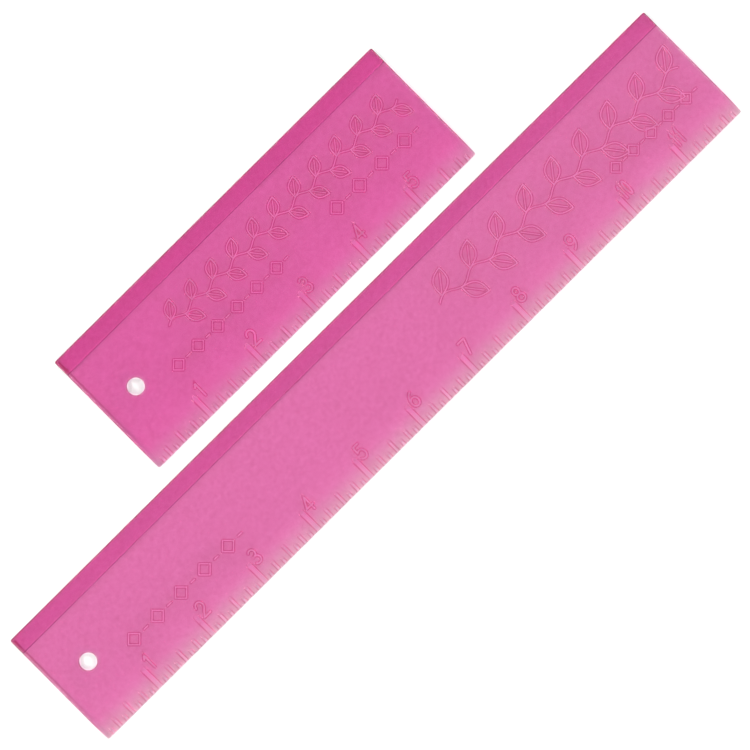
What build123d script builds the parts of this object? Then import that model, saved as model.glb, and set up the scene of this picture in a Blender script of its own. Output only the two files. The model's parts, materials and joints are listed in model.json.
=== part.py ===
from build123d import *

import os
from math import atan2, cos, degrees, hypot, radians, sin

# A pair of translucent moulded seam rulers, 12 inch and 6 inch, lying face up side by side.
# +X runs along the scales, +Y towards the lipped edges, +Z up from the table.
# The origin is the middle of the pair's footprint, on the table.

INCH = 25.4

# Each ruler's plan and section, in millimetres.
LONG_LENGTH = 12 * INCH
LONG_WIDTH = 1.875 * INCH
LONG_PLATE = 2.4
SHORT_LENGTH = 6 * INCH
SHORT_WIDTH = 2 * INCH
SHORT_PLATE = 2.9

# Where the two rulers lie.
GAP_BETWEEN = 6.0
SHORT_START = 77.7

# The lip under the seam edge, whose inner wall stops against a fold of paper.
LIP_WIDTH = 0.25 * INCH
LIP_DROP = 1.0

# The bevel down to the thin scale edge, and how far its top face falls.
BEVEL_WIDTH = 8.0
BEVEL_DROP = 1.5

# The hanging hole on the centre line near the zero end.
HOLE_DIAMETER = 6.2
HOLE_FROM_END = 14.0

CORNER_RADIUS = 0.6

# Raised graduations, every eighth of an inch, and the numbers beside the inch marks.
RELIEF = 0.25
ROOT = 0.3
INCH_MARK = 9.4
HALF_MARK = 5.6
QUARTER_MARK = 4.4
EIGHTH_MARK = 2.8
INCH_MARK_WIDTH = 1.8
MARK_WIDTH = 1.3
EIGHTHS = 8

NUMBER_HEIGHT = 5.4
NUMBER_WIDTH = 2.8
NUMBER_STROKE = 0.9
NUMBER_FROM_EDGE = 6.5
NUMBER_CENTRE_FROM_MARK = 3.4
PAIR_WIDTH = 1.3
PAIR_PITCH = 2.3
ARC_STEP = 24


def top_profile(width, plate, rise):
    """The upper outline of the section, from the scale edge to the lip edge, raised by rise."""
    edge_top = LIP_DROP + plate - BEVEL_DROP + rise
    plate_top = LIP_DROP + plate + rise
    return [(0, edge_top), (BEVEL_WIDTH, plate_top), (width, plate_top)]


def extrude_section(points, length):
    """Carry a section, given as (y, z) points, along +X for the ruler's length."""
    section = Plane.YZ * make_face(Polyline(*points, close=True))
    return extrude(section, amount=length, dir=(1, 0, 0))


def plate_blank(length, width, plate):
    """The plain moulding: plate, lip below the seam edge, bevel, rounded corners and hanging hole."""
    inner_wall = width - LIP_WIDTH
    underside = [(width, 0), (inner_wall, 0), (inner_wall, LIP_DROP), (0, LIP_DROP)]
    blank = extrude_section(top_profile(width, plate, 0) + underside, length)
    outer_corners = [edge for edge in blank.edges().filter_by(Axis.Z) if is_corner(edge, width)]
    blank = fillet(outer_corners, CORNER_RADIUS)
    hole = Pos(HOLE_FROM_END, width / 2, 0) * Cylinder(HOLE_DIAMETER / 2, 4 * plate)
    return blank - hole


def is_corner(edge, width):
    """True for an upright edge at one of the four corners of the plan."""
    y = edge.center().Y
    return y < BEVEL_WIDTH / 2 or y > width - LIP_WIDTH / 2


def relief_skin(length, width, plate):
    """A thin skin that follows the top, from just inside the plate to the height of the marks."""
    lower = list(reversed(top_profile(width, plate, -ROOT)))
    return extrude_section(top_profile(width, plate, RELIEF) + lower, length)


def mark_length(eighth):
    """How far a graduation reaches in from the scale edge."""
    if eighth % EIGHTHS == 0:
        return INCH_MARK
    if eighth % 4 == 0:
        return HALF_MARK
    if eighth % 2 == 0:
        return QUARTER_MARK
    return EIGHTH_MARK


def mark(eighth):
    """One graduation as a flat bar that starts on the scale edge."""
    length = mark_length(eighth)
    width = INCH_MARK_WIDTH if eighth % EIGHTHS == 0 else MARK_WIDTH
    return Pos(eighth * INCH / EIGHTHS, length / 2) * Rectangle(width, length)


def ring_points(centre, radii, start, sweep):
    """Points along part of an ellipse, with angles in degrees, anticlockwise when sweep is positive."""
    steps = max(2, round(abs(sweep) / ARC_STEP))
    angles = [radians(start + sweep * step / steps) for step in range(steps + 1)]
    return [(centre[0] + radii[0] * cos(a), centre[1] + radii[1] * sin(a)) for a in angles]


def digit_strokes(digit):
    """The centre lines of a digit's strokes, in a cell 0.6 wide and 1 high."""
    if digit == 0:
        return [ring_points((0.3, 0.5), (0.3, 0.5), 0, 360)]
    if digit == 1:
        return [[(0.12, 0.78), (0.32, 1.0), (0.32, 0.0)]]
    if digit == 2:
        return [ring_points((0.3, 0.7), (0.3, 0.3), 170, -205) + [(0.0, 0.0), (0.6, 0.0)]]
    if digit == 3:
        upper = ring_points((0.29, 0.76), (0.25, 0.24), 140, -230)
        return [upper + ring_points((0.29, 0.26), (0.3, 0.26), 90, -235)]
    if digit == 4:
        return [[(0.45, 0.0), (0.45, 1.0), (0.0, 0.3), (0.62, 0.3)]]
    if digit == 5:
        return [[(0.55, 1.0), (0.1, 1.0)] + ring_points((0.28, 0.31), (0.31, 0.31), 135, -280)]
    if digit == 6:
        return [ring_points((0.3, 0.3), (0.3, 0.3), 0, 360), ring_points((0.6, 0.3), (0.6, 0.7), 105, 75)]
    if digit == 7:
        return [[(0.0, 1.0), (0.6, 1.0), (0.2, 0.0)]]
    if digit == 8:
        upper = ring_points((0.3, 0.76), (0.24, 0.24), 0, 360)
        return [upper, ring_points((0.3, 0.26), (0.3, 0.26), 0, 360)]
    return [ring_points((0.3, 0.7), (0.3, 0.3), 0, 360), ring_points((0.0, 0.7), (0.6, 0.7), -75, 75)]


def digit_face(digit, width):
    """A digit's strokes as flat faces, at the size that the numbers are moulded."""
    across = width / 0.6
    faces = []
    for points in digit_strokes(digit):
        sized = [(x * across, y * NUMBER_HEIGHT) for x, y in points]
        faces += [stroke(start, end) for start, end in zip(sized, sized[1:])]
    return faces


def stroke(start, end):
    """A straight bar with round ends between two points."""
    run, rise = end[0] - start[0], end[1] - start[1]
    middle = Pos((start[0] + end[0]) / 2, (start[1] + end[1]) / 2)
    return middle * Rot(0, 0, degrees(atan2(rise, run))) * SlotCenterToCenter(hypot(run, rise), NUMBER_STROKE)


def number_faces(inch):
    """The number beside an inch mark; two digits share narrower cells."""
    digits = [int(character) for character in str(inch)]
    width = NUMBER_WIDTH if len(digits) == 1 else PAIR_WIDTH
    centre = inch * INCH + NUMBER_CENTRE_FROM_MARK
    first = centre - PAIR_PITCH * (len(digits) - 1) / 2 - width / 2
    faces = []
    for place, digit in enumerate(digits):
        shift = Pos(first + place * PAIR_PITCH, NUMBER_FROM_EDGE)
        faces += [shift * face for face in digit_face(digit, width)]
    return faces


def ruler(length, width, plate):
    """A whole ruler with its zero end at X = 0 and its scale edge at Y = 0."""
    inches = round(length / INCH)
    bars = [mark(eighth) for eighth in range(1, inches * EIGHTHS)]
    numbers = [face for inch in range(1, inches) for face in number_faces(inch)]
    flat = Sketch() + (bars + numbers)
    tall = extrude(flat, amount=2 * (LIP_DROP + plate))
    relief = tall & relief_skin(length, width, plate)
    return plate_blank(length, width, plate) + relief


def write(name, solid):
    """Name a solid and write it to its own file."""
    solid.label = name
    export_step(solid, os.path.join("parts", name + ".step"))
    print(name, "volume", round(solid.volume), "mm3, size", solid.bounding_box().size)


os.makedirs("parts", exist_ok=True)

TOTAL_WIDTH = LONG_WIDTH + GAP_BETWEEN + SHORT_WIDTH
LONG_PLACE = Pos(-LONG_LENGTH / 2, -TOTAL_WIDTH / 2, 0)
SHORT_PLACE = Pos(SHORT_START - LONG_LENGTH / 2, TOTAL_WIDTH / 2 - SHORT_WIDTH, 0)

write("long_ruler", LONG_PLACE * ruler(LONG_LENGTH, LONG_WIDTH, LONG_PLATE))
write("short_ruler", SHORT_PLACE * ruler(SHORT_LENGTH, SHORT_WIDTH, SHORT_PLATE))
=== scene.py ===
# %% [markdown]
# # Two tinted seam rulers
# A 12 inch and a 6 inch ruler lie face up, side by side, on a white table. Each is one
# injection moulding in clear pink acrylic: a plate, a lip under the seam edge, a bevel down
# to the thin scale edge, raised marks and numbers, and a hole to hang it by.
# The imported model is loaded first, as a fixed frame that everything else is built on.

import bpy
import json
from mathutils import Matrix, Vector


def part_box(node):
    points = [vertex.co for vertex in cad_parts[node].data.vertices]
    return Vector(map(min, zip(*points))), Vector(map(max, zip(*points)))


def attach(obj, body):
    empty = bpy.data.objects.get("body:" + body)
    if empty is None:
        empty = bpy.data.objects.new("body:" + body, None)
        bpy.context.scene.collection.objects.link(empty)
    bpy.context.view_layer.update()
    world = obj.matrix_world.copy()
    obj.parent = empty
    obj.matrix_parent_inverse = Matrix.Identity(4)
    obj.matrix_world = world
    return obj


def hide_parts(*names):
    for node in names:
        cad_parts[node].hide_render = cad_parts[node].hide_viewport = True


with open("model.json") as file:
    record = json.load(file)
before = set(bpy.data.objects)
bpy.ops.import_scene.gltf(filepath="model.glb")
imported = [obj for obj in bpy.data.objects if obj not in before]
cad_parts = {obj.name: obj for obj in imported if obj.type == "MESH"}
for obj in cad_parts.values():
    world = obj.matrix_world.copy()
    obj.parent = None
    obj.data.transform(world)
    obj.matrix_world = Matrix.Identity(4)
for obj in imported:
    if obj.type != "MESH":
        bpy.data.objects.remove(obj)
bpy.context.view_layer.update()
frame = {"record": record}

import json
import math
from types import SimpleNamespace

import bpy
import numpy as np
from mathutils.geometry import delaunay_2d_cdt

MM = 0.001
INCH = 25.4

# %% [markdown]
# ## The camera
# The rulers are seen from straight above, turned so that they run from the lower left to the
# upper right. A long lens far away keeps both ends of the rulers as square as their middles.
# A Blender camera looks down its own -Z, so straight down needs no tilt, only the turn. It
# stands over the middle of the long ruler, with a very small shift.

# %% Camera
SENSOR_MM = 36.0
CAMERA_HEIGHT = 1.6
VIEW_WIDTH = 256 * MM
VIEW_TURN = math.radians(44.78)
VIEW_SHIFT = 0.45 * MM

long_low, long_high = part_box("long_ruler")
camera = bpy.data.objects.new("camera", bpy.data.cameras.new("camera"))
camera.data.sensor_width = SENSOR_MM
camera.data.lens = SENSOR_MM * CAMERA_HEIGHT / VIEW_WIDTH
camera.location = (
    (long_low.x + long_high.x) / 2,
    (long_low.y + long_high.y) / 2 + VIEW_SHIFT,
    CAMERA_HEIGHT + long_high.z,
)
camera.rotation_euler = (0, 0, -VIEW_TURN)
bpy.context.scene.collection.objects.link(camera)
bpy.context.scene.camera = camera
print("lens", round(camera.data.lens, 1), "mm")

# %% [markdown]
# ## Colours and nodes
# Colours are written as sRGB hex, the way a designer picks them. Blender's shaders work in
# linear light, so one function converts. Another adds a node with its settings and its links,
# which keeps each material a short list of steps.


# %% Helpers for colours and nodes
def linear(hex_colour, alpha=1.0):
    """sRGB hex to linear RGBA: below 0.04045 divide by 12.92, above it a 2.4 power curve."""
    values = np.array([int(hex_colour[i : i + 2], 16) for i in (1, 3, 5)]) / 255
    curve = np.where(values <= 0.04045, values / 12.92, ((values + 0.055) / 1.055) ** 2.4)
    return (*curve.tolist(), alpha)


def add_node(tree, kind, settings=None, **inputs):
    """Add one node; an input is either a value or another node's output socket."""
    node = tree.nodes.new(kind)
    for name, value in (settings or {}).items():
        setattr(node, name, value)
    for name, value in inputs.items():
        socket = node.inputs[name.replace("_", " ")]
        if isinstance(value, bpy.types.NodeSocket):
            tree.links.new(value, socket)
        else:
            socket.default_value = value
    return node


def new_material(name):
    """An empty node material with only its output node."""
    material = bpy.data.materials.new(name)
    material.use_nodes = True
    material.node_tree.nodes.clear()
    return material, material.node_tree


# %% [markdown]
# ## The table
# A sheet of white card: matt, nearly white, with a very faint tooth. It sits a hair below the
# rulers, so that the clear plastic and the card never share one surface, which would flicker.

# %% Table
TABLE_SIDE = 4.0
TABLE_CLEARANCE = 0.05 * MM
TOOTH_SCALE = 900.0
TOOTH_DEPTH = 0.1 * MM
TOOTH_STRENGTH = 0.05
CARD_COLOUR = "#f7f7f6"

card, tree = new_material("white_card_matt_pressed")
tooth = add_node(
    tree,
    "ShaderNodeTexNoise",
    Scale=TOOTH_SCALE,
    Detail=2.0,
    Vector=add_node(tree, "ShaderNodeTexCoord").outputs["Object"],
)
card_bump = add_node(
    tree,
    "ShaderNodeBump",
    Strength=TOOTH_STRENGTH,
    Distance=TOOTH_DEPTH,
    Height=tooth.outputs["Fac"],
)
card_shader = add_node(
    tree,
    "ShaderNodeBsdfPrincipled",
    Base_Color=linear(CARD_COLOUR),
    Roughness=0.9,
    Specular_IOR_Level=0.1,
    Normal=card_bump.outputs["Normal"],
)
add_node(tree, "ShaderNodeOutputMaterial", Surface=card_shader.outputs["BSDF"])

half = TABLE_SIDE / 2
table_corners = [
    (x * half, y * half, -TABLE_CLEARANCE)
    for x, y in ((-1, -1), (1, -1), (1, 1), (-1, 1))
]
table_mesh = bpy.data.meshes.new("table")
table_mesh.from_pydata(table_corners, [], [(0, 1, 2, 3)])
table_mesh.materials.append(card)
table = bpy.data.objects.new("table", table_mesh)
bpy.context.scene.collection.objects.link(table)
print("card", TABLE_SIDE, "m a side,", TABLE_CLEARANCE / MM, "mm below the rulers")

# %% [markdown]
# ## The light
# Clear plastic shows what lights it. A pale room lights the card through the plastic, which
# is what brings out the pink. The room is brightest overhead and dim near the horizon: light
# that comes down steeply keeps the card white round the rulers, and the flat tops and the
# bevels mirror one even tone. Four soft boxes stand round the rulers, too far from overhead
# for the flat tops to mirror them. The two beyond the rulers' ends are stronger, and give
# the raised marks a light side and a dark side.

# %% Light
ROOM_STRENGTH = 0.63
# Each pair is the sine of an elevation, which is the height in a direction of length 1, and
# how bright the room is there.
ROOM_LEVELS = [
    (0.0, 0.3),
    (0.5, 0.8),
    (math.cos(math.radians(32)), 0.8),
    (math.cos(math.radians(26)), 1.7),
]
BOX_SIZE = 0.5
BOX_DISTANCE = 1.5
# Each soft box: its name, its azimuth and elevation in degrees, and its power in watts.
BOXES = [
    ("left", 180, 60, 8.5),
    ("right", 0, 60, 6.5),
    ("front", -90, 48, 4.5),
    ("back", 90, 60, 4.5),
]

world = bpy.data.worlds.new("pale_room")
bpy.context.scene.world = world
world.use_nodes = True
tree = world.node_tree
tree.nodes.clear()
direction = add_node(tree, "ShaderNodeTexCoord").outputs["Generated"]
height = add_node(tree, "ShaderNodeSeparateXYZ", Vector=direction).outputs["Z"]
sky = add_node(tree, "ShaderNodeValToRGB", Fac=height)
for stop, (rise, level) in zip(sky.color_ramp.elements, (ROOM_LEVELS[0], ROOM_LEVELS[-1])):
    stop.position = rise
    stop.color = (level, level, level, 1)
for rise, level in ROOM_LEVELS[1:-1]:
    sky.color_ramp.elements.new(rise).color = (level, level, level, 1)
room = add_node(
    tree, "ShaderNodeBackground", Color=sky.outputs["Color"], Strength=ROOM_STRENGTH
)
add_node(tree, "ShaderNodeOutputWorld", Surface=room.outputs["Background"])


def soft_box(name, azimuth, elevation, power):
    """A square area light that faces the origin from an azimuth and an elevation."""
    lamp = bpy.data.lights.new(name, "AREA")
    lamp.shape = "SQUARE"
    lamp.size = BOX_SIZE
    lamp.energy = power
    lit = bpy.data.objects.new(name, lamp)
    reach = BOX_DISTANCE * math.cos(elevation)
    rise = BOX_DISTANCE * math.sin(elevation)
    lit.location = (reach * math.cos(azimuth), reach * math.sin(azimuth), rise)
    lit.rotation_euler = (math.pi / 2 - elevation, 0, azimuth + math.pi / 2)
    bpy.context.scene.collection.objects.link(lit)


for side, azimuth, elevation, power in BOXES:
    soft_box("soft_box_" + side, math.radians(azimuth), math.radians(elevation), power)
# Filter Glossy blurs the light that reaches the card through clear plastic, and loses nearly
# half of it, so it is off.
bpy.context.scene.cycles.blur_glossy = 0.0
bpy.context.scene.view_settings.view_transform = "Standard"
bpy.context.scene.view_settings.look = "None"
print(len(BOXES), "soft boxes and a room of strength", ROOM_STRENGTH)

# %% [markdown]
# ## What the frame says about each ruler
# The frame's boxes and mounts hold the real sizes: the hanging hole gives the plate's
# thickness, the underside gives the lip's drop, and the seam stop gives the lip's width. All
# shapes below are worked out in millimetres from the zero end and the scale edge, and only
# the last step turns them into metres in the frame.


# %% Ruler sizes
BEVEL_WIDTH = 8.0
BEVEL_DROP = 1.5


def ruler_plan(name, slot):
    """Collect one ruler's sizes, in millimetres, from its box and its mounts."""
    low, high = (np.array(corner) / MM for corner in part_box(name + "_ruler"))
    mounts = {mount["name"]: mount for mount in frame["record"]["mounts"]}
    hole = mounts[name + "_hang_hole"]
    plate = hole["dims"]["length_mm"]
    drop = mounts[name + "_plate_underside"]["pos_m"][2] / MM
    return SimpleNamespace(
        name=name,
        node=name + "_ruler",
        body=name + "_body",
        slot=slot,
        corner=low,
        length=high[0] - low[0],
        width=high[1] - low[1],
        plate=plate,
        drop=drop,
        relief=high[2] - drop - plate,
        lip=high[1] - mounts[name + "_seam_stop"]["pos_m"][1] / MM,
        hole_centre=np.array(hole["pos_m"][:2]) / MM - low[:2],
        hole_radius=hole["dims"]["r_mm"],
    )


plans = [ruler_plan("long", "long_tint"), ruler_plan("short", "short_tint")]
for plan in plans:
    print(plan.name, round(plan.length, 2), "by", round(plan.width, 2), "mm, plate", plan.plate)

# %% [markdown]
# ## Section of the plate
# Both faces are height functions: for a place (x, y) they give z. The top is flat and falls
# along the bevel; the underside steps down at the lip. A height function is easy to sample
# anywhere and to differentiate, so the surface gets exact normals and shades cleanly, which
# clear plastic needs more than any other finish because it bends what lies behind it.


# %% Section
# How softly the bevel meets the flat, and how far the lip's inner wall leans.
KNEE = 0.12
LIP_WALL = 0.32


def ease(t):
    """Smooth step: 0 below 0, 1 above 1, and 3 times t squared less 2 times t cubed between."""
    t = np.clip(t, 0, 1)
    return t * t * (3 - 2 * t)


def soft_min(a, b, blend):
    """The lower of two heights, with the crease where they cross rounded over a height blend."""
    share = np.clip(0.5 + 0.5 * (b - a) / blend, 0, 1)
    return b + (a - b) * share - blend * share * (1 - share)


def plain_top(plan, y):
    """Top height: the lower of the flat face and the bevel, which rises from the scale edge."""
    flat = plan.drop + plan.plate
    bevel = flat - BEVEL_DROP + BEVEL_DROP * y / BEVEL_WIDTH
    return soft_min(bevel, np.full_like(y, flat), KNEE)


def underside(plan, y):
    """Underside height: the lip's drop, eased to zero across the lip's drafted inner wall."""
    inner_wall = plan.width - plan.lip
    return plan.drop * (1 - ease((y - inner_wall) / LIP_WALL))


# %% [markdown]
# ## Raised strokes
# Every raised thing on the rulers, a mark, a number or an ornament, is a stroke: a path with a
# half width. The relief at a place depends only on its distance from the nearest path: full
# height inside, nothing outside, and a smooth side between, as a mould cut with a round
# tool leaves it. A stroke can stand lower than the full relief, and can fade out at its far
# end. The sides are sampled along the path itself, at a few fixed distances from it, so that
# a fine edge costs few points.

# %% Strokes
MARK_SIDE = 0.7
FINE_SIDE = 0.62


def stroke(points, half_width, side=FINE_SIDE, rise=1.0, fade=0.0):
    """A raised path: points, half width, side width, share of the relief, and fade at its end."""
    return SimpleNamespace(
        points=np.asarray(points, float),
        half_width=half_width,
        side=side,
        rise=rise,
        fade=fade,
    )


def distance_to_path(points, x, y):
    """Least distance from each (x, y) to a polyline: project on each segment and clamp to it."""
    nearest = np.full(x.shape, np.inf)
    for (ax, ay), (bx, by) in zip(points[:-1], points[1:]):
        run, climb = bx - ax, by - ay
        square = max(run * run + climb * climb, 1e-12)
        along = np.clip(((x - ax) * run + (y - ay) * climb) / square, 0, 1)
        nearest = np.minimum(nearest, np.hypot(x - ax - along * run, y - ay - along * climb))
    return nearest


def raised_share(strokes, x, y):
    """Share of the full relief, and steepness, at each place: the highest stroke wins.

    A stroke's share is its rise times e, which eases from 1 to 0 across its side, and its
    steepness is 4 times its rise times e times (1 - e), greatest half way up the side."""
    highest = np.zeros(x.shape)
    steep = np.zeros(x.shape)
    for item in strokes:
        reach = item.half_width + item.side
        low, high = item.points.min(0) - reach, item.points.max(0) + reach
        near = np.flatnonzero((x > low[0]) & (x < high[0]) & (y > low[1]) & (y < high[1]))
        if not len(near):
            continue
        away = distance_to_path(item.points, x[near], y[near])
        eased = ease((item.half_width + item.side / 2 - away) / item.side)
        rise = np.full(len(near), item.rise)
        if item.fade:
            rise *= ease((high[1] - y[near]) / item.fade)
        wins = rise * eased > highest[near]
        highest[near[wins]] = (rise * eased)[wins]
        steep[near[wins]] = (4 * rise * eased * (1 - eased))[wins]
    return highest, steep


# %% [markdown]
# ## The marks
# A rib stands on every eighth of an inch. Inch ribs are longest and widest, then come halves,
# quarters and eighths. Each starts past the scale edge, so that it runs out through it, and
# fades into the bevel at its inner end.

# %% Marks
MARKS_PER_INCH = 8
MARK_HALF_WIDTH = 0.62
INCH_HALF_WIDTH = 1.0
MARK_FADE = 2.6
MARK_START = -3.0
MARK_REACH = {8: 9.4, 4: 5.6, 2: 4.4, 1: 2.8}


def marks(plan):
    """One stroke per eighth of an inch, as long as the largest fraction that it falls on."""
    strokes = []
    for eighth in range(1, round(plan.length / INCH * MARKS_PER_INCH)):
        rank = next(step for step in MARK_REACH if eighth % step == 0)
        half_width = INCH_HALF_WIDTH if rank == MARKS_PER_INCH else MARK_HALF_WIDTH
        x = eighth * INCH / MARKS_PER_INCH
        tip = MARK_REACH[rank] - half_width
        line = [(x, MARK_START), (x, tip)]
        strokes.append(stroke(line, half_width, MARK_SIDE, fade=MARK_FADE))
    return strokes


# %% [markdown]
# ## The numbers
# Each inch mark has its number at its right. A digit is drawn as one or two strokes from
# straight runs and parts of ellipses, in a cell 0.6 wide and 1 high, and then sized.

# %% Numbers
NUMBER_HEIGHT = 5.4
NUMBER_WIDTH = 2.8
PAIR_WIDTH = 1.3
PAIR_PITCH = 2.3
NUMBER_HALF_STROKE = 0.46
NUMBER_FROM_EDGE = 6.5
NUMBER_FROM_MARK = 3.4
DIGIT_CELL = 0.6
ARC_STEP = math.radians(15)


def arc(centre, radii, start, sweep):
    """Points round part of an ellipse: the centre plus each radius times cos and sin."""
    steps = max(2, round(abs(math.radians(sweep)) / ARC_STEP))
    angle = np.radians(start + sweep * np.linspace(0, 1, steps + 1))
    x = centre[0] + radii[0] * np.cos(angle)
    y = centre[1] + radii[1] * np.sin(angle)
    return np.stack([x, y], 1)


UPPER_BOWL = arc((0.29, 0.76), (0.25, 0.24), 140, -230)
LOWER_BOWL = arc((0.29, 0.26), (0.3, 0.26), 90, -235)
DIGITS = {
    "0": [arc((0.3, 0.5), (0.3, 0.5), 0, 360)],
    "1": [[(0.12, 0.78), (0.32, 1.0), (0.32, 0.0)]],
    "2": [np.vstack([arc((0.3, 0.7), (0.3, 0.3), 170, -205), [(0.0, 0.0), (0.6, 0.0)]])],
    "3": [np.vstack([UPPER_BOWL, LOWER_BOWL])],
    "4": [[(0.45, 0.0), (0.45, 1.0), (0.0, 0.3), (0.62, 0.3)]],
    "5": [np.vstack([[(0.55, 1.0), (0.1, 1.0)], arc((0.28, 0.31), (0.31, 0.31), 135, -280)])],
    "6": [arc((0.3, 0.3), (0.3, 0.3), 0, 360), arc((0.6, 0.3), (0.6, 0.7), 105, 75)],
    "7": [[(0.0, 1.0), (0.6, 1.0), (0.2, 0.0)]],
    "8": [arc((0.3, 0.76), (0.24, 0.24), 0, 360), arc((0.3, 0.26), (0.3, 0.26), 0, 360)],
    "9": [arc((0.3, 0.7), (0.3, 0.3), 0, 360), arc((0.0, 0.7), (0.6, 0.7), -75, 75)],
}


def numbers(plan):
    """The digits of every inch number, each sized to its cell and set beside its mark."""
    strokes = []
    for inch in range(1, round(plan.length / INCH)):
        digits = str(inch)
        width = NUMBER_WIDTH if len(digits) == 1 else PAIR_WIDTH
        first = inch * INCH + NUMBER_FROM_MARK - PAIR_PITCH * (len(digits) - 1) / 2 - width / 2
        for place, digit in enumerate(digits):
            left = first + place * PAIR_PITCH
            for line in DIGITS[digit]:
                sized = np.asarray(line) * (width / DIGIT_CELL, NUMBER_HEIGHT)
                strokes.append(stroke(sized + (left, NUMBER_FROM_EDGE), NUMBER_HALF_STROKE))
    return strokes


# %% [markdown]
# ## The ornament
# The flat of each ruler carries raised moulded decoration. Here it is a sewing motif of this
# build's own: a vine of leaves along the upper band, and rows of small patchwork diamonds
# joined by stitches below it.

# %% Ornament
LINE_HALF_WIDTH = 0.38
LEAF_HALF_WIDTH = 0.4
MOTIF_RISE = 0.85
# A leaf's spacing, belly, midrib ends and the stem's wave are shares of the leaf's length.
# Its root is a share of the spacing.
LEAF_PITCH = 0.7
LEAF_ROOT = 0.35
LEAF_PLACES = 9
STEM_PLACES = 8
LEAF_BELLY = 0.27
LEAF_MIDRIB = (0.12, 0.8)
LEAF_LEAN = math.radians(52)
STEM_WAVE = 0.14
# A diamond's spacing and half a stitch are shares of the diamond's size.
DIAMOND_PITCH = 1.9
STITCH_HALF = 0.16
# Each band: start and end in inches, inches below the lipped edge, motif size in mm, motif.
BANDS = {
    "long": [
        (7.3, 11.8, 0.85, 9.6, "vine"),
        (10.1, 11.75, 1.22, 4.6, "diamonds"),
        (0.98, 3.2, 1.16, 5.4, "diamonds"),
    ],
    "short": [
        (1.45, 5.75, 0.74, 7.0, "vine"),
        (0.98, 3.2, 1.2, 5.0, "diamonds"),
        (3.95, 5.65, 1.2, 5.6, "diamonds"),
    ],
}


def leaf(root, angle, length, belly):
    """A closed leaf outline: its half width is the belly times the sine of pi times t, where t
    goes from 0 at the root to 1 at the tip."""
    t = np.linspace(0, 1, LEAF_PLACES)
    side = belly * np.sin(math.pi * t)
    along = np.concatenate([t, t[-2::-1]]) * length
    across = np.concatenate([side, -side[-2::-1]])
    c, s = math.cos(angle), math.sin(angle)
    return np.stack([root[0] + along * c - across * s, root[1] + along * s + across * c], 1)


def vine(start, end, middle, leaf_length):
    """A wavy stem with a leaf at each crest, leaning forward, on alternate sides."""
    count = round((end - start) / (leaf_length * LEAF_PITCH))
    pitch = (end - start) / count
    wave = STEM_WAVE * leaf_length
    x = np.linspace(start, end, count * STEM_PLACES + 1)
    stem = np.stack([x, middle + wave * np.sin(math.pi * (x - start) / pitch)], 1)
    strokes = [stroke(stem, LINE_HALF_WIDTH, rise=MOTIF_RISE)]
    for place in range(count):
        side = 1 if place % 2 == 0 else -1
        root = (start + (place + LEAF_ROOT) * pitch, middle + side * wave)
        lean = side * LEAF_LEAN
        rim = leaf(root, lean, leaf_length, LEAF_BELLY * leaf_length)
        strokes.append(stroke(rim, LEAF_HALF_WIDTH, rise=MOTIF_RISE))
        reach = leaf_length * np.outer(LEAF_MIDRIB, (math.cos(lean), math.sin(lean)))
        strokes.append(stroke(root + reach, LINE_HALF_WIDTH, rise=MOTIF_RISE))
    return strokes


def patchwork_row(start, end, middle, size):
    """A row of diamonds with short stitches between them."""
    count = round((end - start) / (size * DIAMOND_PITCH))
    pitch = (end - start) / count
    strokes = []
    for place in range(count):
        x = start + (place + 0.5) * pitch
        corners = [(x - size / 2, middle), (x, middle + size / 2), (x + size / 2, middle)]
        corners += [(x, middle - size / 2), (x - size / 2, middle)]
        strokes.append(stroke(corners, LINE_HALF_WIDTH, rise=MOTIF_RISE))
        gap = x + pitch / 2
        stitch = [(gap - STITCH_HALF * size, middle), (gap + STITCH_HALF * size, middle)]
        strokes.append(stroke(stitch, LINE_HALF_WIDTH, rise=MOTIF_RISE))
    return strokes


def ornament(plan):
    """The bands of one ruler, placed by inches from the zero end and the lipped edge."""
    draw = {"vine": vine, "diamonds": patchwork_row}
    strokes = []
    for start, end, down, size, motif in BANDS[plan.name]:
        strokes += draw[motif](start * INCH, end * INCH, plan.width - down * INCH, size)
    return strokes


for plan in plans:
    counts = [len(part(plan)) for part in (marks, numbers, ornament)]
    print(plan.name, "strokes in the marks, the numbers and the ornament:", counts)

# %% [markdown]
# ## Places to sample
# A moulding this thin and long needs fine detail at its marks and almost none on its flats.
# So the surface isn't one even grid: it is sampled at chosen places, along each stroke, along
# the bevel's crease and on a coarse lattice, and a Delaunay triangulation joins them.

# %% Sampling
STEP_ALONG = 0.45
SIDE_STEPS = np.array([-0.5, -0.2, 0.0, 0.2, 0.5, 0.75])
LATTICE = 4.0
CREASE_PITCH = 1.5
EDGE_MARGIN = 0.12
# Directions of the places round a stroke's end, from straight ahead.
END_ANGLES = np.radians(np.arange(-75, 76, 25))
# Rows either side of the bevel's crease, and across the lip's inner wall in wall widths.
CREASE_ROWS = np.array([-1, -0.6, -0.3, 0, 0.3, 0.6, 1])
WALL_ROWS = np.array([-0.4, 0, 0.25, 0.5, 0.75, 1, 1.4])
# Rings of places round the hanging hole, in mm beyond its rim.
HALO_GAPS = (0.7, 1.4)
# Places nearer together than this are merged, above and below.
MERGE_TOP = 0.05
MERGE_LOW = 0.02


def along_path(points, step):
    """Places every step along a polyline with their directions, corners kept."""
    places, headings = [], []
    for a, b in zip(points[:-1], points[1:]):
        length = np.hypot(*(b - a))
        t = np.linspace(0, 1, max(2, int(np.ceil(length / step)) + 1))
        places.append(a + (b - a) * t[:, None])
        headings.append(np.repeat([(b - a) / max(length, 1e-9)], len(t), 0))
    return np.vstack(places), np.vstack(headings)


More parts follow.
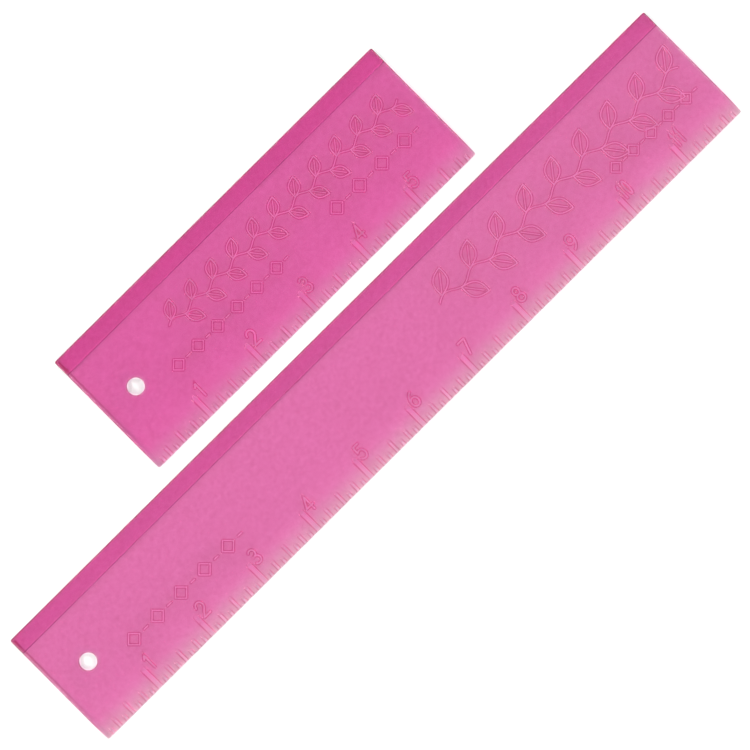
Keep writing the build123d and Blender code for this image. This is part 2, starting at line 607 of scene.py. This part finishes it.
def stroke_samples(item, step):
    """Places on a stroke's path and on both sides of it, at fixed distances, with round ends."""
    places, headings = along_path(item.points, step)
    normals = np.stack([-headings[:, 1], headings[:, 0]], 1)
    offsets = item.half_width + item.side * SIDE_STEPS
    samples = [places]
    for offset in offsets:
        samples += [places + normals * offset, places - normals * offset]
    for end, heading in ((item.points[0], -headings[0]), (item.points[-1], headings[-1])):
        angle = math.atan2(heading[1], heading[0]) + END_ANGLES
        ring = np.stack([np.cos(angle), np.sin(angle)], 1)
        samples += [end + ring * offset for offset in offsets]
    return np.vstack(samples)


def thin_out(points, spacing):
    """Keep one point from each cell of a fine grid, so that no two nearly coincide."""
    cells = np.round(points / spacing).astype(np.int64)
    keep = np.unique(cells, axis=0, return_index=True)[1]
    return points[np.sort(keep)]


def lattice(xs, ys):
    """Every pair of the given columns and rows, as points."""
    return np.stack(np.meshgrid(xs, ys), -1).reshape(-1, 2)


# %% [markdown]
# ## The outline
# The plan is a rectangle with small round corners. It is a list of places with an outward
# direction at each, so it can be drawn in or out by any amount: the rolled top edge, the wall
# and the rolled lower edge are the same outline at different insets and heights. Along the
# scale edge it has a place at every column of every mark, so that the ribs run out cleanly.

# %% Outline
CORNER_RADIUS = 0.6
SCALE_ROLL = 0.3
EDGE_ROLL = 0.5
FOOT_ROLL = 0.15
END_CREASE_ROWS = np.array([-1, -0.4, 0, 0.4, 1])
CORNER_GAP = 0.1
CORNER_PLACES = 6
HOLE_PLACES = 72
ROLL_STEPS = 4


def straight_places(start, stop, extra=()):
    """Places between two corners about a lattice step apart, with any extra ones, in order."""
    count = int(abs(stop - start) / LATTICE) + 2
    places = np.concatenate([np.linspace(start, stop, count), extra])
    return np.unique(np.round(places, 4))


def wall_rows(plan):
    """Rows across the lip's inner wall."""
    return plan.width - plan.lip + LIP_WALL * WALL_ROWS


def outline(plan, mark_strokes):
    """Places and outward directions round the plan, anticlockwise from the scale edge."""
    r = CORNER_RADIUS
    columns = np.array([item.points[0, 0] for item in mark_strokes])
    widths = np.array([item.half_width for item in mark_strokes])
    reach = widths[:, None] + MARK_SIDE * SIDE_STEPS
    near = columns[:, None]
    extra = np.concatenate([columns, (near - reach).ravel(), (near + reach).ravel()])
    extra = extra[(extra > r + CORNER_GAP) & (extra < plan.length - r - CORNER_GAP)]
    scale = straight_places(r, plan.length - r, extra)
    seam = straight_places(r, plan.length - r)[::-1]
    rows = np.concatenate([BEVEL_WIDTH + END_CREASE_ROWS, wall_rows(plan)])
    side = straight_places(r, plan.width - r, rows)
    places, outward = [], []
    runs = [
        (scale, 0, (0, -1), -90, (plan.length - r, r)),
        (side, plan.length, (1, 0), 0, (plan.length - r, plan.width - r)),
        (seam, plan.width, (0, 1), 90, (r, plan.width - r)),
        (side[::-1], 0, (-1, 0), 180, (r, r)),
    ]
    for values, level, direction, start, corner in runs:
        across = np.full(len(values), float(level))
        pair = (values, across) if direction[0] == 0 else (across, values)
        places.append(np.stack(pair, 1))
        outward.append(np.repeat([direction], len(values), 0).astype(float))
        angle = np.radians(start + 90 * np.linspace(0, 1, CORNER_PLACES + 2)[1:-1])
        ring = np.stack([np.cos(angle), np.sin(angle)], 1)
        places.append(np.array(corner) + r * ring)
        outward.append(ring)
    return np.vstack(places), np.vstack(outward)


def hole_outline(plan):
    """Places round the hanging hole, with directions that point out of the plastic, inwards."""
    angle = np.linspace(0, 2 * math.pi, HOLE_PLACES, endpoint=False)
    ring = np.stack([np.cos(angle), np.sin(angle)], 1)
    return plan.hole_centre + plan.hole_radius * ring, -ring


# %% [markdown]
# ## Raised share and painted shade
# Two numbers go with each point, for the material to read. The first says how raised it is;
# the material makes the raised strokes a little matt and paints them a little lighter, a
# painted highlight. The second is a painted shade, darkness put into the surface colour for
# the places that send light away sideways and so look darker: the sides of the strokes, the
# rolled edges, and a strip inside the zero end, where the end wall is seen through the
# plastic. The painted shade is weaker towards the scale edge, where the plastic is thin and
# pale.

# %% Raised shares and painted shade
# Painted shade: its strength on the sides of strokes and in the strip inside the zero end, the
# strip's places and profile in mm from the zero end, and how much of it fades towards the scale
# edge.
MARK_SHADE = 0.5
END_SHADE = 0.45
END_STRIP = np.array([0.65, 0.85, 1.3, 1.55])
END_PROFILE = (0, 1, 1, 0)
BEVEL_FADE = 0.15
# A face that leans 45 degrees has this much less than a full upward normal.
FULL_LEAN = 0.29


def top_finish(plan, strokes, places):
    """How raised each top place is, and its painted shade: the greater of a side's and the
    strip's.
    """
    x, y = places.T
    raised, steep = raised_share(strokes, x, y)
    steep *= 1 - BEVEL_FADE * (1 - ease(y / BEVEL_WIDTH))
    strip = np.interp(x, END_STRIP, END_PROFILE) * y / plan.width
    return raised, np.maximum(MARK_SHADE * steep, END_SHADE * strip)


def wall_shade(rings):
    """Painted shade of each point of the walls: full where the top roll leans 45 degrees or more,
    none below the top roll, and eased out towards the scale edge."""
    shades = []
    for place, (ring, normal) in enumerate(rings[1:-1], 1):
        lean = np.clip((1 - normal[:, 2]) / FULL_LEAN, 0, 1) * (place <= ROLL_STEPS)
        shades.append(lean * ease(ring[:, 1] / BEVEL_WIDTH))
    return np.concatenate(shades)


# %% [markdown]
# ## One closed skin
# The top face, the rolled edges, the walls, the hole and the underside are joined into one
# watertight mesh. Clear plastic must be a closed skin with its faces outwards, or the light
# can't tell where it is inside. Each face is triangulated between its own loops, the walls are
# strips of quads between loops, and exact normals are set last.


# %% Skin
SLOPE_STEP = 0.004


def triangulate(loops, inside):
    """Delaunay triangles between the outline, the hole's loop and free points.

    The hole's own triangles are those with all three corners on its loop, and are dropped."""
    points = np.vstack(loops + [inside])
    edges, first = [], 0
    for loop in loops:
        ids = np.arange(first, first + len(loop))
        edges += np.stack([ids, np.roll(ids, -1)], 1).tolist()
        first += len(loop)
    border = [list(range(len(loops[0])))]
    found = delaunay_2d_cdt(points.tolist(), edges, border, 1, 1e-5, True)
    where = np.array([tuple(v) for v in found[0]])
    source = np.array([ids[0] if ids else -1 for ids in found[3]])
    if len(where) != len(points) or (np.sort(source) != np.arange(len(points))).any():
        raise ValueError("the triangulation moved or merged points")
    triangles = source[np.array(found[2])]
    first_hole, first_free = len(loops[0]), len(loops[0]) + len(loops[1])
    on_hole = (triangles >= first_hole) & (triangles < first_free)
    triangles = triangles[~on_hole.all(1)]
    a, b, c = (points[triangles[:, k]] for k in range(3))
    turn = (b[:, 0] - a[:, 0]) * (c[:, 1] - a[:, 1]) - (b[:, 1] - a[:, 1]) * (c[:, 0] - a[:, 0])
    triangles[turn < 0] = triangles[turn < 0][:, ::-1]
    return points, triangles


def face_normals(height, places):
    """Upward normals of a height function: minus its slopes, measured over a small step, and 1."""
    x, y = places.T
    step = SLOPE_STEP
    slope_x = (height(x + step, y) - height(x - step, y)) / (2 * step)
    slope_y = (height(x, y + step) - height(x, y - step)) / (2 * step)
    return unit(np.stack([-slope_x, -slope_y, np.ones_like(x)], 1))


def unit(vectors):
    """Vectors scaled to length 1."""
    return vectors / np.linalg.norm(vectors, axis=1, keepdims=True)


def wall_rings(places, outward, top, bottom, top_roll):
    """Rings from the top face round the rolled edge, down the wall and under to the underside.

    A roll of radius r turns through 90 degrees: its inset is r times (1 - sin) of the angle,
    and its drop is r times (1 - cos)."""
    flat_out = np.column_stack([outward, np.zeros(len(outward))])
    rings = []
    foot_roll = np.full(places.shape, FOOT_ROLL)
    for height, roll, sign in ((top, top_roll, 1), (bottom, foot_roll, -1)):
        start = places - outward * roll
        level = height(start[:, 0], start[:, 1])
        lean = face_normals(height, start) * sign
        angles = np.linspace(0, math.pi / 2, ROLL_STEPS + 1)
        for angle in angles if sign > 0 else angles[::-1]:
            spot = places - outward * roll * (1 - math.sin(angle))
            z = level - sign * np.linalg.norm(outward * roll, axis=1) * (1 - math.cos(angle))
            normal = unit(lean * math.cos(angle) + flat_out * math.sin(angle))
            rings.append((np.column_stack([spot, z]), normal))
    return rings


def inside_places(plan, samples, margin):
    """Samples that lie clear of the outline and of the hole."""
    x, y = samples.T
    scale_margin = margin - EDGE_ROLL + SCALE_ROLL
    clear = (x > margin) & (x < plan.length - margin)
    clear &= (y > scale_margin) & (y < plan.width - margin)
    corner_x = np.minimum(x, plan.length - x) - CORNER_RADIUS
    corner_y = np.minimum(y, plan.width - y) - CORNER_RADIUS
    in_corner = (corner_x < 0) & (corner_y < 0)
    clear &= ~in_corner | (np.hypot(corner_x, corner_y) < CORNER_RADIUS - margin)
    off_hole = np.hypot(*(samples - plan.hole_centre).T) - plan.hole_radius
    return samples[clear & (off_hole > margin)]


def top_samples(plan, mark_strokes, fine_strokes, coarse):
    """Free places on the top face: along every stroke, the crease and the end strip."""
    samples = [stroke_samples(item, STEP_ALONG) for item in fine_strokes]
    samples += [stroke_samples(item, 2 * STEP_ALONG) for item in mark_strokes]
    crease = lattice(np.arange(0, plan.length, CREASE_PITCH), BEVEL_WIDTH + CREASE_ROWS)
    strip = lattice(END_STRIP, np.arange(0, plan.width, CREASE_PITCH))
    samples = np.vstack([*samples, crease, *coarse, strip])
    return inside_places(plan, thin_out(samples, MERGE_TOP), EDGE_ROLL + EDGE_MARGIN)


def wall_strips(rings, start, first, first_low, turned):
    """Quads between neighbouring rings; the outer two rings are loops of the two faces."""
    count = len(rings[0][0])
    ids = [start + np.arange(count)]
    for ring in rings[1:-1]:
        ids.append(first + np.arange(count))
        first += count
    ids.append(first_low + start + np.arange(count))
    strips = []
    for upper, lower in zip(ids[:-1], ids[1:]):
        quad = [upper, lower, np.roll(lower, -1), np.roll(upper, -1)]
        strips.append(np.stack(quad[::-1] if turned else quad, 1))
    return np.vstack(strips)


def ruler_skin(plan, mark_strokes, fine_strokes):
    """Points, normals, raised shares, painted shade and faces of one ruler, in mm from its own
    corner.
    """
    strokes = mark_strokes + fine_strokes

    def top(x, y):
        return plain_top(plan, y) + plan.relief * raised_share(strokes, x, y)[0]

    def bottom(x, y):
        return underside(plan, y)

    edge, edge_out = outline(plan, mark_strokes)
    hole, hole_out = hole_outline(plan)
    at_scale = edge_out[:, 1:] < -1e-6
    edge_roll = np.where(at_scale, (EDGE_ROLL, SCALE_ROLL), (EDGE_ROLL, EDGE_ROLL))
    edge_rings = wall_rings(edge, edge_out, top, bottom, edge_roll)
    hole_rings = wall_rings(hole, hole_out, top, bottom, np.full(hole.shape, SCALE_ROLL))

    columns = np.arange(LATTICE / 2, plan.length, LATTICE)
    rows = np.arange(LATTICE / 2, plan.width, LATTICE)
    halo = [plan.hole_centre + (plan.hole_radius + gap) * -hole_out for gap in HALO_GAPS]
    coarse = [lattice(columns, rows), *halo]
    samples = top_samples(plan, mark_strokes, fine_strokes, coarse)
    loops = [edge_rings[0][0][:, :2], hole_rings[0][0][:, :2]]
    top_places, top_faces = triangulate(loops, samples)

    under = np.vstack([lattice(columns, wall_rows(plan)), *coarse])
    under = inside_places(plan, thin_out(under, MERGE_LOW), EDGE_ROLL + EDGE_MARGIN)
    loops = [edge_rings[-1][0][:, :2], hole_rings[-1][0][:, :2]]
    low_places, low_faces = triangulate(loops, under)

    first_low = len(top_places)
    first_wall = first_low + len(low_places)
    first_hole_wall = first_wall + len(edge) * (len(edge_rings) - 2)
    walls = edge_rings[1:-1] + hole_rings[1:-1]
    points = [np.column_stack([top_places, top(*top_places.T)])]
    points.append(np.column_stack([low_places, bottom(*low_places.T)]))
    points += [ring for ring, normal in walls]
    normals = [face_normals(top, top_places), -face_normals(bottom, low_places)]
    normals += [normal for ring, normal in walls]
    raised, shade = top_finish(plan, strokes, top_places)
    rest = np.zeros(len(low_places))
    shade = [shade, rest, wall_shade(edge_rings), wall_shade(hole_rings)]
    shade = np.concatenate(shade)
    raised = np.concatenate([raised, np.zeros(len(shade) - len(raised))])
    triangles = np.vstack([top_faces, low_faces[:, ::-1] + first_low])
    quads = wall_strips(edge_rings, 0, first_wall, first_low, False)
    hole_quads = wall_strips(hole_rings, len(edge), first_hole_wall, first_low, True)
    quads = np.vstack([quads, hole_quads])
    return np.vstack(points), np.vstack(normals), raised, shade, triangles, quads


# %% [markdown]
# ## From arrays to a mesh
# The arrays go into the mesh in one call each. The places are moved to the frame here, so the
# object itself stays at the origin, unturned and unscaled.


# %% Mesh
def ruler_piece(plan, material):
    """Build one ruler as an object that stands for its CAD node and rides on its body."""
    fine_strokes = numbers(plan) + ornament(plan)
    skin = ruler_skin(plan, marks(plan), fine_strokes)
    points, normals, raised, shade, triangles, quads = skin
    sizes = np.concatenate([np.full(len(triangles), 3), np.full(len(quads), 4)])
    corners = np.concatenate([triangles.ravel(), quads.ravel()])
    mesh = bpy.data.meshes.new(plan.name + "_moulding")
    mesh.vertices.add(len(points))
    mesh.vertices.foreach_set("co", ((points + (*plan.corner[:2], 0)) * MM).ravel())
    mesh.loops.add(len(corners))
    mesh.loops.foreach_set("vertex_index", corners.astype(np.int32))
    mesh.polygons.add(len(sizes))
    starts = np.cumsum(sizes) - sizes
    mesh.polygons.foreach_set("loop_start", starts.astype(np.int32))
    mesh.polygons.foreach_set("use_smooth", np.ones(len(sizes), bool))
    mesh.update(calc_edges=True)
    if mesh.validate():
        raise ValueError("the mesh had faults")
    mesh.normals_split_custom_set_from_vertices(normals.tolist())
    # The raised share drives the matt and the painted highlight; the shade is painted shade.
    for name, values in (("raised", raised), ("shade", shade)):
        layer = mesh.attributes.new(name, "FLOAT", "POINT")
        layer.data.foreach_set("value", values.astype(np.float32))
    mesh.materials.append(material)
    piece = bpy.data.objects.new(plan.name + "_moulding", mesh)
    bpy.context.scene.collection.objects.link(piece)
    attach(piece, plan.body)
    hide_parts(plan.node)
    print(piece.name, len(points), "points,", len(triangles) + 2 * len(quads), "triangles")


# %% [markdown]
# ## Tinted acrylic
# Acrylic (PMMA) is a clear glassy plastic, index 1.49. The pink isn't on its surface: a dye all
# through it takes green and some blue out of the light, so thick places are deep magenta and
# the thin scale edge is pale. That is a glass surface with a Volume Absorption inside. The
# faces are injection moulded in a fine-polished mould that is no longer new, so they have a
# slight orange peel, faint scuffs and clouding, which come from noise at real sizes, and the
# raised strokes are a little matt. The tints on the surface are small, except the painted
# shade on the sides of the strokes, the rolled edges and the strip inside the zero end. The
# raised strokes also carry a painted highlight, and the low blue of the flat, cloud and raised
# tints is painted warm light.

# %% Acrylic
ACRYLIC_IOR = 1.49
PEEL_MM = 1.6
PEEL_DEPTH = 0.03 * MM
PEEL_STRENGTH = 0.6
SCUFF_MM = 7.0
SCUFF_RANGE = (0.35, 0.75)
SCUFF_ROUGHNESS = (0.05, 0.14)
RAISED_ROUGHNESS = 0.35
CLOUD_MM = 1.6
# The flat and the cloud are the clouded surface; their low blue is painted warm light, in place of
# warm lamps.
FLAT_TINT_PAINTED_WARM_LIGHT = "#f8fdf0"
CLOUD_TINT_PAINTED_WARM_LIGHT = "#e1d4ca"
# Painted highlight: the raised strokes are left lighter than the clouded flat, with the same
# painted warm light.
RAISED_PAINTED_HIGHLIGHT = "#f8fbee"
# Painted shade: pink-red on the sides of strokes and in the end strip, dark red on the rolled
# edges.
SIDE_PAINTED_SHADE = "#d0507c"
EDGE_PAINTED_SHADE = "#9c164c"
# What each metre of the plastic absorbs of red, green and blue.
LONG_DYE = (62, 384, 130)
SHORT_DYE = (56, 390, 126)
# The two colours that a Mix node blends are its sockets 6 and 7, and its result is output 2.
MIX_A, MIX_B, MIX_RESULT = 6, 7, 2


def tinted_acrylic(name, dye_per_metre):
    """Clear dyed plastic whose surface colour carries painted shade, a painted highlight and
    painted warm light; the dye is what each metre absorbs of red, green and blue.
    """
    material, tree = new_material(name)
    place = add_node(tree, "ShaderNodeTexCoord").outputs["Object"]
    raised, shade = (
        add_node(tree, "ShaderNodeAttribute", {"attribute_name": layer}).outputs["Fac"]
        for layer in ("raised", "shade")
    )

    # Roughness: the greater of the scuffs and the matt of the raised strokes.
    scuff = add_node(
        tree, "ShaderNodeTexNoise", Vector=place, Scale=1000 / SCUFF_MM, Detail=6.0, Roughness=0.7
    )
    rough = add_node(
        tree,
        "ShaderNodeMapRange",
        Value=scuff.outputs["Fac"],
        From_Min=SCUFF_RANGE[0],
        From_Max=SCUFF_RANGE[1],
        To_Min=SCUFF_ROUGHNESS[0],
        To_Max=SCUFF_ROUGHNESS[1],
    )
    matt = add_node(
        tree, "ShaderNodeMapRange", Value=raised, To_Min=0.0, To_Max=RAISED_ROUGHNESS
    )
    total = add_node(tree, "ShaderNodeMath", {"operation": "MAXIMUM"})
    tree.links.new(matt.outputs["Result"], total.inputs[0])
    tree.links.new(rough.outputs["Result"], total.inputs[1])

    # Surface colour: the clouded flat with its painted warm light, or the raised strokes with
    # their painted highlight, times the painted shade.
    cloud = add_node(tree, "ShaderNodeTexNoise", Vector=place, Scale=1000 / CLOUD_MM, Detail=2.0)
    flat = add_node(tree, "ShaderNodeMix", {"data_type": "RGBA"}, Factor=cloud.outputs["Fac"])
    flat.inputs[MIX_A].default_value = linear(FLAT_TINT_PAINTED_WARM_LIGHT)
    flat.inputs[MIX_B].default_value = linear(CLOUD_TINT_PAINTED_WARM_LIGHT)
    lit = add_node(tree, "ShaderNodeMix", {"data_type": "RGBA"}, Factor=raised)
    tree.links.new(flat.outputs[MIX_RESULT], lit.inputs[MIX_A])
    lit.inputs[MIX_B].default_value = linear(RAISED_PAINTED_HIGHLIGHT)
    # The painted shade ramp: white on flats, pink-red at the half on the sides of strokes, dark
    # red at full on the rolled edges.
    steep = add_node(tree, "ShaderNodeValToRGB", Fac=shade)
    steep.color_ramp.elements[0].color = (1, 1, 1, 1)
    steep.color_ramp.elements[1].color = linear(EDGE_PAINTED_SHADE)
    steep.color_ramp.elements.new(MARK_SHADE).color = linear(SIDE_PAINTED_SHADE)
    settings = {"data_type": "RGBA", "blend_type": "MULTIPLY"}
    tint_and_painted_shade = add_node(tree, "ShaderNodeMix", settings, Factor=1.0)
    tree.links.new(lit.outputs[MIX_RESULT], tint_and_painted_shade.inputs[MIX_A])
    tree.links.new(steep.outputs["Color"], tint_and_painted_shade.inputs[MIX_B])

    # The skin and the dyed inside.
    peel = add_node(tree, "ShaderNodeTexNoise", Vector=place, Scale=1000 / PEEL_MM, Detail=3.0)
    bump = add_node(
        tree,
        "ShaderNodeBump",
        Strength=PEEL_STRENGTH,
        Distance=PEEL_DEPTH,
        Height=peel.outputs["Fac"],
    )
    surface = add_node(
        tree,
        "ShaderNodeBsdfPrincipled",
        Base_Color=tint_and_painted_shade.outputs[MIX_RESULT],
        Roughness=total.outputs[0],
        IOR=ACRYLIC_IOR,
        Transmission_Weight=1.0,
        Normal=bump.outputs["Normal"],
    )
    strongest = max(dye_per_metre)
    dye = add_node(
        tree,
        "ShaderNodeVolumeAbsorption",
        Color=(*[1 - share / strongest for share in dye_per_metre], 1),
        Density=strongest,
    )
    add_node(
        tree,
        "ShaderNodeOutputMaterial",
        Surface=surface.outputs["BSDF"],
        Volume=dye.outputs["Volume"],
    )
    return material


long_acrylic = tinted_acrylic("pink_acrylic_injection_moulded_long", LONG_DYE)
short_acrylic = tinted_acrylic("pink_acrylic_injection_moulded_short", SHORT_DYE)
print("dyes per metre", LONG_DYE, SHORT_DYE)

# %% [markdown]
# ## The two pieces
# Each plan gets its own acrylic, because the short ruler is the deeper pink of the two.

# %% Pieces
for plan, material in zip(plans, (long_acrylic, short_acrylic)):
    ruler_piece(plan, material)
